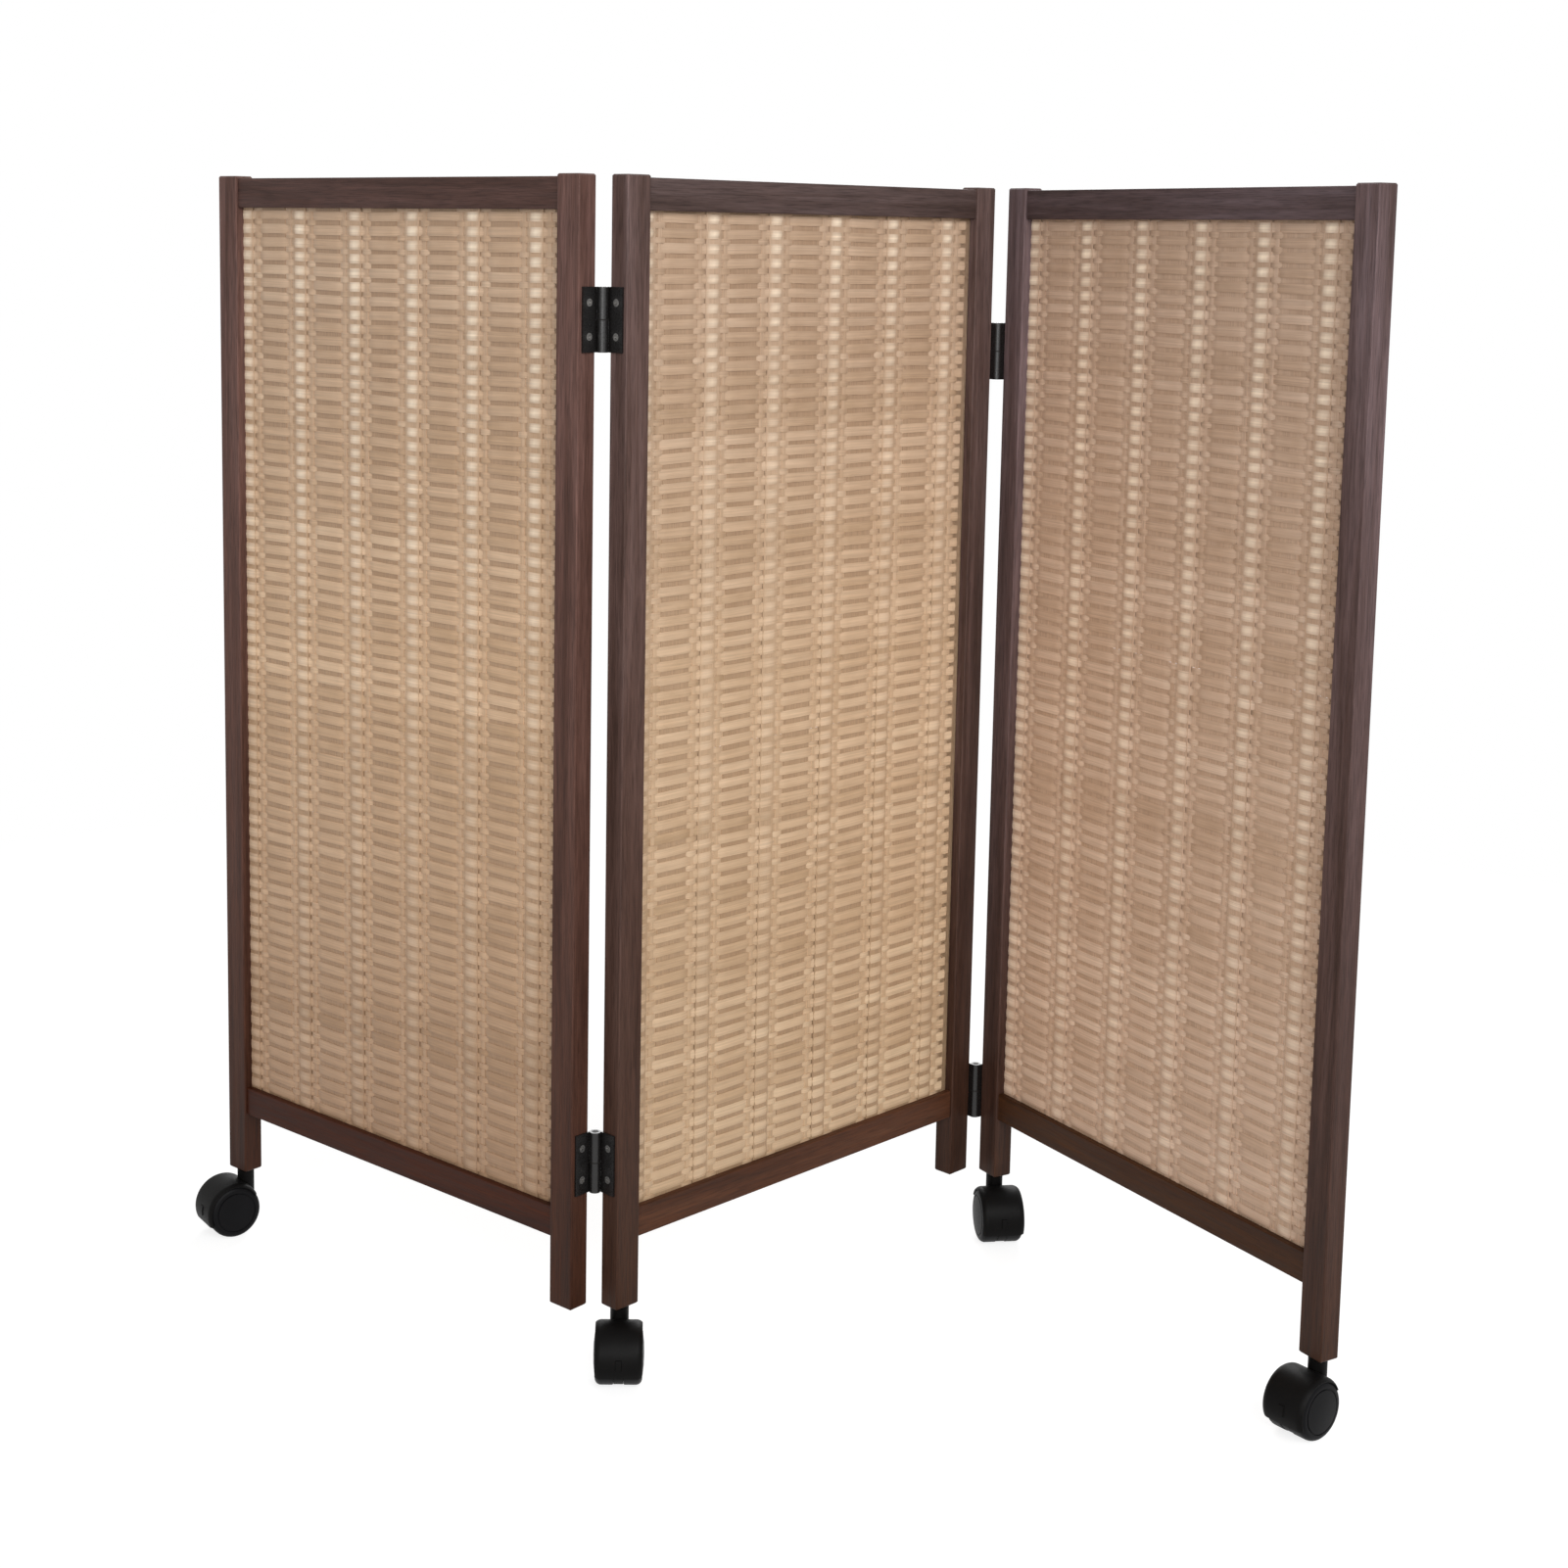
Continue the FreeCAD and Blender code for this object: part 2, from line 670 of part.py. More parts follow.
def panel_frame(heading, own_pin, plan_point):
    turn = turned(along_z, heading)
    own = turn.multVec(Vector(own_pin[0].number, own_pin[1].number, 0))
    return Placement(plan_point - own + Vector(0, 0, caster_height.number), turn)


middle_frame = panel_frame(middle_heading, (zero, zero), Vector(0, 0, 0))
near_pin = middle_frame.multVec(Vector(pin_left.number, pin_back.number, 0))
far_pin = middle_frame.multVec(Vector(pin_right.number, pin_front.number, 0))
near_pin.z = 0
far_pin.z = 0
left_frame = panel_frame(left_heading, (pin_right, pin_back), near_pin)
right_frame = panel_frame(right_heading, (pin_left, pin_front), far_pin)

nodes = []


def keep(piece, frame, local=None):
    piece.Placement = frame.multiply(local or Placement())
    nodes.append(piece)
    return piece


half_turn = turned(along_z, 180.0)
left_post_place = Placement()
right_post_place = moved(panel_width, post_depth, zero, half_turn)
back_screws = post_depth - screw_row
front_screws = screw_row


def make_panel(name, frame, left_hinges, right_hinges, right_caster):
    left_row = back_screws if left_hinges is near_hinges else front_screws
    left_post = make_post(name + "_left_post", left_hinges, left_row, True)
    keep(left_post, frame)
    right_row = post_depth - (back_screws if right_hinges is near_hinges else front_screws)
    right_post = make_post(name + "_right_post", right_hinges, right_row, right_caster)
    keep(right_post, frame, right_post_place)
    low_place = moved(post_width, rail_inset, bottom_rail_lift)
    keep(make_rail(name + "_bottom_rail"), frame, low_place)
    flipped = turned(along_x, 180.0)
    high_place = moved(post_width, rail_inset + rail_depth, top_rail_top, flipped)
    keep(make_rail(name + "_top_rail"), frame, high_place)
    mat_side = (post_depth - rib_thickness) / 2
    mat_place = moved(post_width - groove_depth, mat_side, mat_low)
    keep(make_mat(name + "_woven_mat"), frame, mat_place)
    lying = turned(along_y, 90.0)
    dowels = []
    starts = (post_width - dowel_in_post, panel_width - post_width - dowel_in_rail)
    for start in starts:
        for height in dowel_heights:
            place = moved(start, post_depth / 2, height, lying)
            length = dowel_in_post + dowel_in_rail
            dowels.append(cylinder(name + "_dowel", dowel_diameter / 2, length, place))
    keep(group(name + "_dowels", dowels), frame)


make_panel("left_panel", left_frame, None, near_hinges, False)
make_panel("middle_panel", middle_frame, near_hinges, far_hinges, False)
make_panel("right_panel", right_frame, far_hinges, None, True)

# Hinges: the leaves of the middle panel carry the upper knuckles, the outer panels' leaves
# the lower knuckles with the pins and washers.
fold_sides = {
    "left_fold": (
        ("left_leaf", left_frame, pin_right, pin_back, Rotation(), False),
        ("right_leaf", middle_frame, pin_left, pin_back, turned(along_y, 180.0), True),
    ),
    "right_fold": (
        ("left_leaf", middle_frame, pin_right, pin_front, turned(along_x, 180.0), True),
        ("right_leaf", right_frame, pin_left, pin_front, half_turn, False),
    ),
}
for fold, sides in fold_sides.items():
    hinges = near_hinges if fold == "left_fold" else far_hinges
    for side, frame, pin_x, pin_y, turn, upper_knuckle in sides:
        play = pin_clearance if upper_knuckle else zero
        screws = []
        for level, height in hinges.items():
            leaf = make_leaf(f"{fold}_{level}_{side}", play)
            keep(leaf, frame, moved(pin_x, pin_y, height, turn))
        on_left_edge = pin_x.number < 0
        head_x = -leaf_thickness if on_left_edge else panel_width + leaf_thickness
        row_y = back_screws if pin_y.number > 0 else front_screws
        outward = turned(along_y, -90.0 if on_left_edge else 90.0)
        for height in screw_heights(hinges):
            screw = make_screw(f"{fold}_{side}_screw")
            screw.Placement = moved(head_x, row_y, height, outward)
            screws.append(screw)
        keep(group(f"{fold}_{side}_screws", screws), frame)
        if upper_knuckle:
            continue
        washers = []
        for level, height in hinges.items():
            foot = height - hinge_height / 2
            pin = cylinder(f"{fold}_{level}_pin", pin_radius, hinge_height)
            keep(pin, frame, moved(pin_x, pin_y, foot))
            washer = make_washer(f"{fold}_{level}_washer")
            washer.Placement = moved(pin_x, pin_y, foot + knuckle_height)
            washers.append(washer)
        keep(group(f"{fold}_washers", washers), frame)

# Casters under the left posts of all panels and the right post of the right panel.
left_foot = (post_width / 2, post_depth / 2)
right_foot = (panel_width - post_width / 2, post_depth / 2)
caster_places = {
    "left_end_caster": (left_frame, left_foot, left_end_heading),
    "near_fold_caster": (middle_frame, left_foot, front_heading),
    "far_fold_caster": (right_frame, left_foot, rear_heading),
    "right_end_caster": (right_frame, right_foot, right_end_heading),
}
axle_half = wheel_inner_face + wheel_bore_depth - axle_end_gap
for name, (frame, foot, heading) in caster_places.items():
    spot = frame.multVec(Vector(foot[0].number, foot[1].number, 0))
    spot.z = 0
    stand = Placement(spot, turned(along_z, heading.number))
    keep(make_socket(name + "_socket"), Placement(spot, frame.Rotation))
    keep(make_hood(name + "_hood"), stand)
    keep(make_stem(name + "_stem"), stand)
    crosswise = turned(along_x, -90.0)
    axle = cylinder(name + "_axle", axle_diameter / 2, axle_half * 2)
    keep(axle, stand, moved(trail, -axle_half, wheel_radius, crosswise))
    left_wheel = make_wheel(name + "_left_wheel")
    keep(left_wheel, stand, moved(trail, wheel_inner_face, wheel_radius))
    right_wheel = make_wheel(name + "_right_wheel")
    keep(right_wheel, stand, moved(trail, -wheel_inner_face, wheel_radius, half_turn))

doc.recompute()

# The standing screen is centred over the origin.
whole = FreeCAD.BoundBox()
for piece in nodes:
    whole.add(piece.Shape.BoundBox)
shift = Vector(-whole.Center.x, -whole.Center.y, 0)
for piece in nodes:
    placed = piece.Placement
    placed.Base = placed.Base + shift
    piece.Placement = placed
doc.recompute()

for item in doc.Objects:
    if "Invalid" in item.State or "Error" in item.State:
        raise RuntimeError(f"{item.Name} failed: {item.State}")
for piece in nodes:
    if piece.Shape.isNull() or not piece.Shape.isValid():
        raise RuntimeError(f"{piece.Label} has no valid shape")

print("shift", tuple(round(value, 4) for value in shift))
print("near fold pin", tuple(round(value, 4) for value in near_pin + shift))
print("far fold pin", tuple(round(value, 4) for value in far_pin + shift))
os.makedirs("parts", exist_ok=True)
for piece in nodes:
    piece.Shape.exportStep(f"parts/{piece.Label}.step")
    centre = piece.Placement.Base
    print(piece.Label, len(piece.Shape.Solids), round(piece.Shape.Volume, 1), centre)
print(len(nodes), "pieces")
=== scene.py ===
import math
import random

import bmesh
import bpy
from mathutils import Matrix, Vector


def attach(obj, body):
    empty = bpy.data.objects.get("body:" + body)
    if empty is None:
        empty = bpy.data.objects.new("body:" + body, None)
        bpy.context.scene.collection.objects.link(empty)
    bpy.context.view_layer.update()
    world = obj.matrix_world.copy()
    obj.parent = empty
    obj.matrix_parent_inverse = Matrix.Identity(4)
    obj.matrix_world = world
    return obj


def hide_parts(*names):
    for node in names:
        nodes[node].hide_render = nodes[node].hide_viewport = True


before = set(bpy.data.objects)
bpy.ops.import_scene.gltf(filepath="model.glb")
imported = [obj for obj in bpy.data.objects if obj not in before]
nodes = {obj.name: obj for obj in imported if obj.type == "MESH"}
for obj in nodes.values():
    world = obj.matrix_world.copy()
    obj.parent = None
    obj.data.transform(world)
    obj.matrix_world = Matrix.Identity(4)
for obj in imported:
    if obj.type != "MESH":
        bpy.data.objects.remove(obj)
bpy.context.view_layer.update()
scene = bpy.context.scene
scene.view_settings.view_transform = "Standard"
print("frame loaded:", len(nodes), "nodes")

# left front foot corner of each panel on the floor plan, and the way the panel runs
panels = {
    "left": {"corner": (-0.4469040, 0.1933592), "heading": -42.5},
    "middle": {"corner": (-0.0857768, -0.1035800), "heading": 43.5},
    "right": {"corner": (0.2444604, 0.1975918), "heading": -61.0},
}
postFoot = 0.058  # height of the post feet over the floor

# stem of each caster on the floor plan, and the way its wheels trail
casters = {
    "left_end": {"stem": (-0.4318074, 0.1920719), "heading": 212.0},
    "near_fold": {"stem": (-0.0834396, -0.0886101), "heading": 270.0},
    "far_fold": {"stem": (0.2583684, 0.1915808), "heading": 276.0},
    "right_end": {"stem": (0.4600492, -0.1722610), "heading": 217.0},
}
mergeGap = 0.000002  # points nearer than this become one


def panelMatrix(name):
    x, y = panels[name]["corner"]
    turn = Matrix.Rotation(math.radians(panels[name]["heading"]), 4, "Z")
    return Matrix.Translation((x, y, postFoot)) @ turn


def casterMatrix(name):
    x, y = casters[name]["stem"]
    turn = Matrix.Rotation(math.radians(casters[name]["heading"]), 4, "Z")
    return Matrix.Translation((x, y, 0.0)) @ turn


# a rounded piece gives the angle from which its edges stay sharp
def newPiece(name, bm, body, material, standsFor, sharp=None):
    for face in bm.faces:
        face.smooth = sharp is not None
    mesh = bpy.data.meshes.new(name)
    bm.to_mesh(mesh)
    bm.free()
    if sharp is not None:
        mesh.set_sharp_from_angle(angle=math.radians(sharp))
    piece = bpy.data.objects.new(name, mesh)
    scene.collection.objects.link(piece)
    mesh.materials.append(material)
    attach(piece, body)
    if standsFor:
        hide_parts(*standsFor)
    return piece


def finishNode(name, material):
    nodes[name].data.materials.clear()
    nodes[name].data.materials.append(material)


# shader helpers
noiseRange = (0.3, 0.7)  # most noise values lie here
plainWhite = (1.0, 1.0, 1.0, 1.0)


def newMaterial(name):
    material = bpy.data.materials.new(name)
    material.use_nodes = True
    tree = material.node_tree
    return material, tree, tree.nodes["Principled BSDF"]


def addNode(tree, kind, inputs=None, **settings):
    node = tree.nodes.new(kind)
    for key, value in settings.items():
        setattr(node, key, value)
    for key, value in (inputs or {}).items():
        if isinstance(value, bpy.types.NodeSocket):
            tree.links.new(value, node.inputs[key])
        else:
            node.inputs[key].default_value = value
    return node


def link(tree, source, shader, socket):
    tree.links.new(source, shader.inputs[socket])


def mapping(tree, place, **settings):
    inputs = {"Vector": place, **settings}
    return addNode(tree, "ShaderNodeMapping", inputs).outputs["Vector"]


def objectPlace(tree):
    return addNode(tree, "ShaderNodeTexCoord").outputs["Object"]


def noise(tree, place, scale, detail, roughness, distortion=0.0):
    inputs = {
        "Vector": place,
        "Scale": scale,
        "Detail": detail,
        "Roughness": roughness,
        "Distortion": distortion,
    }
    return addNode(tree, "ShaderNodeTexNoise", inputs).outputs["Fac"]


def spread(tree, value, low, high, toLow, toHigh):
    inputs = {"Value": value, "From Min": low, "From Max": high, "To Min": toLow, "To Max": toHigh}
    return addNode(tree, "ShaderNodeMapRange", inputs).outputs["Result"]


# inputs 6 and 7 of the mix node are its two colours, output 2 is the mixed colour
def mixColor(tree, share, first, second, how="MIX"):
    inputs = {0: share, 6: first, 7: second}
    node = addNode(tree, "ShaderNodeMix", inputs, data_type="RGBA", blend_type=how)
    return node.outputs[2]


def twoValues(tree, how, first, second):
    return addNode(tree, "ShaderNodeMath", {0: first, 1: second}, operation=how).outputs[0]


def ramp(tree, value, stops):
    node = addNode(tree, "ShaderNodeValToRGB", {"Fac": value})
    points = node.color_ramp.elements
    while len(points) < len(stops):
        points.new(0.5)
    for point, (place, color) in zip(points, stops):
        point.position = place
        point.color = (*color, 1.0)
    return node.outputs["Color"]


def bump(tree, height, strength, distance):
    inputs = {"Height": height, "Strength": strength, "Distance": distance}
    return addNode(tree, "ShaderNodeBump", inputs).outputs["Normal"]


# painted light and shade by the height over the floor
def paintedLightByHeight(tree, stops):
    parts = addNode(tree, "ShaderNodeSeparateXYZ", {"Vector": objectPlace(tree)}).outputs
    return ramp(tree, parts["Z"], stops)


# stained walnut: grain along the piece, pores and a satin coat
woodLook = {
    "tones": [
        (0.30, (0.0739, 0.0340, 0.0249)),
        (0.52, (0.1344, 0.0680, 0.0557)),
        (0.74, (0.1876, 0.1022, 0.0875)),
    ],
    "alongGrain": 0.045,  # the figure is drawn out along the piece
    "figure": {"scale": 70.0, "detail": 5.0, "roughness": 0.6, "distortion": 0.6},
    "streaks": {"scale": 420.0, "detail": 3.0, "roughness": 0.6},
    "pores": {"scale": 1100.0, "detail": 2.0, "roughness": 0.5},
    # range of the noise and the shade that it gives
    "streakShade": (0.32, 0.68, 0.80, 1.16),
    "poreShade": (0.38, 0.50, 0.72, 1.0),
    "seedStep": (0.37, 0.53, 0.29),
    "roughness": (0.44, 0.60),
    "gloss": 0.16,
    "relief": (0.22, 0.0006),  # strength and depth
    # painted light by height: painted shade deepens towards the feet and a painted cool sheen lies
    # towards the top
    "upright": [
        (0.06, (0.279, 0.189, 0.100)),
        (0.22, (0.414, 0.357, 0.279)),
        (0.50, (0.656, 0.675, 0.643)),
        (0.92, (0.821, 0.929, 0.971)),
    ],
    "level": {
        "left": [(0.14, (0.261, 0.116, 0.030)), (0.90, (0.571, 0.657, 0.693))],
        "middle": [(0.14, (0.554, 0.373, 0.200)), (0.90, (0.579, 0.693, 0.743))],
        "right": [(0.14, (0.290, 0.171, 0.050)), (0.90, (0.586, 0.671, 0.714))],
    },
    # each frame's tint is partly its own batch of wood and partly painted light, most on the right
    # frame, which is painted lighter and cooler
    "batchAndPaintedLight": {
        "left": (1.13, 1.02, 0.98),
        "middle": (1.04, 1.12, 1.17),
        "right": (1.15, 1.33, 1.58),
    },
}


def makeWood(name, panel, upright, seed):
    material, tree, shader = newMaterial(name)
    along = woodLook["alongGrain"]
    stretch = (1.0, 1.0, along) if upright else (along, 1.0, 1.0)
    heading = math.radians(panels[panel]["heading"])
    place = mapping(tree, objectPlace(tree), Rotation=(0.0, 0.0, -heading))
    place = mapping(tree, place, Scale=stretch)
    place = mapping(tree, place, Location=[seed * step for step in woodLook["seedStep"]])
    figure = noise(tree, place, **woodLook["figure"])
    streaks = noise(tree, place, **woodLook["streaks"])
    pores = noise(tree, place, **woodLook["pores"])
    # the frame's tint, partly painted light
    batchAndPaintedLight = woodLook["batchAndPaintedLight"][panel]
    tones = [(at, [a * b for a, b in zip(color, batchAndPaintedLight)]) for at, color in woodLook["tones"]]
    color = ramp(tree, figure, tones)
    pitted = spread(tree, pores, *woodLook["poreShade"])
    shade = twoValues(tree, "MULTIPLY", spread(tree, streaks, *woodLook["streakShade"]), pitted)
    color = mixColor(tree, 1.0, color, shade, "MULTIPLY")
    # painted shade low down and a painted cool sheen high up, laid over the wood's own colour
    paintedWoodLight = paintedLightByHeight(tree, woodLook["upright"] if upright else woodLook["level"][panel])
    color = mixColor(tree, 1.0, color, paintedWoodLight, "MULTIPLY")
    link(tree, color, shader, "Base Color")
    rough = spread(tree, streaks, *noiseRange, *woodLook["roughness"])
    link(tree, rough, shader, "Roughness")
    height = twoValues(tree, "MULTIPLY", streaks, pitted)
    link(tree, bump(tree, height, *woodLook["relief"]), shader, "Normal")
    shader.inputs["Specular IOR Level"].default_value = woodLook["gloss"]
    return material


for index, name in enumerate(panels):
    upright = makeWood(f"walnutUpright_{name}", name, True, index + 1)
    level = makeWood(f"walnutLevel_{name}", name, False, index + 1 + len(panels))
    for part in ("left_post", "right_post"):
        finishNode(f"{name}_panel_{part}", upright)
    for part in ("top_rail", "bottom_rail"):
        finishNode(f"{name}_panel_{part}", level)
print("wood done")

# split rattan: every strip has its own tone, with fibres along it
stripLook = {
    "tones": [
        (0.0, (0.563, 0.363, 0.215)),
        (0.35, (0.688, 0.458, 0.288)),
        (0.70, (0.781, 0.538, 0.353)),
        (1.0, (0.863, 0.619, 0.416)),
    ],
    # painted highlight colour on the crests of the dots
    "crest": (0.980, 0.830, 0.650, 1.0),
    # painted shade colour for the strips' edges and the stakes in the gaps
    "edge": (0.240, 0.140, 0.075, 1.0),
    # painted light and shade on each mat, from the bottom to the top, with a cooler cast towards the
    # top
    "paintedTints": {
        "left": [
            (0.15, (0.61, 0.57, 0.55)),
            (0.55, (0.87, 0.87, 0.85)),
            (0.85, (0.72, 0.73, 0.755)),
        ],
        "middle": [
            (0.15, (0.75, 0.77, 0.74)),
            (0.55, (0.82, 0.86, 0.87)),
            (0.85, (0.69, 0.72, 0.78)),
        ],
        "right": [
            (0.15, (0.80, 0.815, 0.90)),
            (0.55, (0.765, 0.785, 0.865)),
            (0.85, (0.70, 0.73, 0.825)),
        ],
    },
    # along the strip, across it and from strip to strip
    "fibre": {"stretch": (14.0, 900.0, 40.0), "detail": 4.0, "roughness": 0.62},
    "blotch": {"stretch": (26.0, 60.0, 40.0), "detail": 3.0, "roughness": 0.5},
    "blotchTone": (-0.16, 0.16),
    "fibreShade": (0.82, 1.12),
    "roughness": (0.38, 0.58),
    "gloss": 0.4,
    "relief": (0.25, 0.0003),  # strength and depth
}


def stripNoise(tree, place, values):
    stretched = mapping(tree, place, Scale=values["stretch"])
    return noise(tree, stretched, 1.0, values["detail"], values["roughness"])


def makeStrip(name, panel):
    material, tree, shader = newMaterial(name)
    placed = addNode(tree, "ShaderNodeAttribute", attribute_name="stripPlace").outputs["Vector"]
    looked = addNode(tree, "ShaderNodeAttribute", attribute_name="stripLook").outputs["Vector"]
    parts = addNode(tree, "ShaderNodeSeparateXYZ", {"Vector": looked}).outputs
    fibre = stripNoise(tree, placed, stripLook["fibre"])
    blotch = stripNoise(tree, placed, stripLook["blotch"])
    blotchTone = spread(tree, blotch, *noiseRange, *stripLook["blotchTone"])
    color = ramp(tree, twoValues(tree, "ADD", parts["X"], blotchTone), stripLook["tones"])
    # painted light and shade by height
    paintedStripLight = paintedLightByHeight(tree, stripLook["paintedTints"][panel])
    color = mixColor(tree, 1.0, color, paintedStripLight, "MULTIPLY")
    # painted highlight on the dots
    color = mixColor(tree, parts["Y"], color, stripLook["crest"])
    # painted shade at the strips' edges and in the gaps
    color = mixColor(tree, parts["Z"], color, stripLook["edge"])
    shade = spread(tree, fibre, *noiseRange, *stripLook["fibreShade"])
    color = mixColor(tree, 1.0, color, shade, "MULTIPLY")
    link(tree, color, shader, "Base Color")
    rough = spread(tree, fibre, *noiseRange, *stripLook["roughness"])
    link(tree, rough, shader, "Roughness")
    link(tree, bump(tree, fibre, *stripLook["relief"]), shader, "Normal")
    shader.inputs["Specular IOR Level"].default_value = stripLook["gloss"]
    return material


weave = {
    "rows": 68,
    "opening": (0.024, 0.416, 0.080, 0.873),
    "tuck": 0.005,  # strip ends in the frame's groove
    "middle": 0.00925,  # middle of the mat from the panel's front
    "wideHeight": 0.0079,
    "thinHeight": 0.0050,
    "thickness": 0.0006,
    "firstColumn": 0.0284,
    "columnPitch": 0.0714,
    "columnCount": 8,  # with the one past each side of the mat
    "sideStake": 0.0140,
    # distance from the dot column and depth there in mm, wide and thin strip (minus is to the front)
    "bends": [
        (0.0, -1.45, 1.30),
        (0.0040, -1.28, 1.25),
        (0.0072, -0.72, 0.85),
        (0.0108, 0.45, -0.40),
        (0.0140, 0.70, -0.76),
        (0.0172, 0.45, -0.40),
        (0.0200, -0.42, 0.50),
        (0.0250, -0.66, 0.70),
        (0.0357, -0.72, 0.75),
    ],
    "crown": 0.00032,
    "sharp": 38,
    # the dots' brightness is a painted highlight where the strip bulges over the stake
    "dotReach": 0.0074,  # half width of a bright dot
    "dotShare": (0.70, 1.0),  # dots differ in strength
    "jitter": 0.00024,
    "uneven": (0.93, 1.05),  # strip heights
    # waves along the strip and up the mat, and how far they move it
    "wander": [(9, 7, 0.0007), (31, -19, 0.0003), (64, 47, 0.00016)],
    "phases": (0.0, 6.28),
    "tone": (0.5, 0.11),  # middle and scatter of the strip tone
    "toneLimits": (0.05, 0.95),
    "thinPaler": 0.05,
    "edgeHighlight": 0.5,  # share of a dot's strength at the strip's edges
    # painted shade along the strips' edges
    "edgeShade": 0.10,
    "seeds": (0.0, 40.0),
    # width and depths of the upright stakes
    "stakes": {
        "dot": (0.0160, (-0.00088, 0.00060)),
        "side": (0.0042, (0.0,)),
        "span": (0.0310, (0.0,)),
    },
    "stakeTone": (0.40, 0.60),
    "leastStake": 0.002,  # a narrower rest of a stake is left out
    "wholeStake": 0.9,  # share of the width from which a stake counts as whole
    # painted shade on the stakes, where they show in the gaps between the strips, at the bottom and
    # at the top
    "paintedGapShade": {
        "left": {"dot": (0.52, 0.04), "side": (0.06, 0.06), "span": (0.52, 0.52)},
        "middle": {"dot": (0.52, 0.04), "side": (0.06, 0.06), "span": (0.52, 0.50)},
        "right": {"dot": (0.14, 0.08), "side": (0.06, 0.06), "span": (0.19, 0.13)},
    },
    "edgeGapShade": 0.25,  # share of that darkness on a stake half hidden by the frame
    # strength of the painted highlight on the dots, weaker lower down where less light falls, at
    # heights from the bottom (0) to the top (1)
    "dotHighlights": {
        "left": [(0.0, 0.14), (0.45, 0.36), (0.75, 0.85), (1.0, 1.0)],
        "middle": [(0.0, 0.10), (0.55, 0.24), (0.8, 0.50), (1.0, 0.90)],
        "right": [(0.0, 0.42), (0.5, 0.68), (1.0, 1.0)],
    },
    # strips from one cane lie together: waves of tone up the mat and their strength
    "bands": [(19.0, 0.055), (43.0, 0.075), (89.0, 0.070)],
    # painted light and shade drifting across the strips: bottom left, bottom right, top left, top
    # right
    "paintedLightDrift": {
        "left": (0.02, -0.36, 0.12, -0.06),
        "middle": (-0.05, 0.26, -0.14, -0.08),
        "right": (0.26, 0.14, 0.0, -0.06),
    },
}


def between(stops, at):
    for (low, first), (high, second) in zip(stops, stops[1:]):
        if at <= high:
            return first + (second - first) * max(0.0, at - low) / (high - low)
    return stops[-1][1]


def dotColumns():
    first = weave["firstColumn"] - weave["columnPitch"]
    columns = [first]
    while len(columns) < weave["columnCount"]:
        columns.append(columns[-1] + weave["columnPitch"])
    return columns


# places along a strip where it bends, with both depths there and the dot column they belong to
def bendPlaces():
    left = weave["opening"][0] - weave["tuck"]
    right = weave["opening"][1] + weave["tuck"]
    halfway = weave["bends"][-1][0]
    bends = []
    for index, column in enumerate(dotColumns()):
        for offset, wide, thin in weave["bends"]:
            for side in (-1, 1):
                if offset == 0.0 and side == 1:
                    continue
                if offset == halfway and side == -1:
                    continue
                bends.append((column + side * offset, wide / 1000, thin / 1000, offset, index))
    bends.sort()
    return [bend for bend in bends if left < bend[0] < right]


def layStrip(bm, layers, alongPlaces, acrossPlaces, move, look):
    alongSteps = len(alongPlaces) - 1
    acrossSteps = len(acrossPlaces) - 1
    grid = bmesh.ops.create_grid(bm, x_segments=alongSteps, y_segments=acrossSteps, size=1.0)
    for vert in grid["verts"]:
        i = round((vert.co.x + 1) / 2 * alongSteps)
        j = round((vert.co.y + 1) / 2 * acrossSteps)
        *strip, seed = look(i, j)
        vert.co = move(i, j)
        vert[layers[0]] = Vector((alongPlaces[i], acrossPlaces[j], seed))
        vert[layers[1]] = Vector(strip)


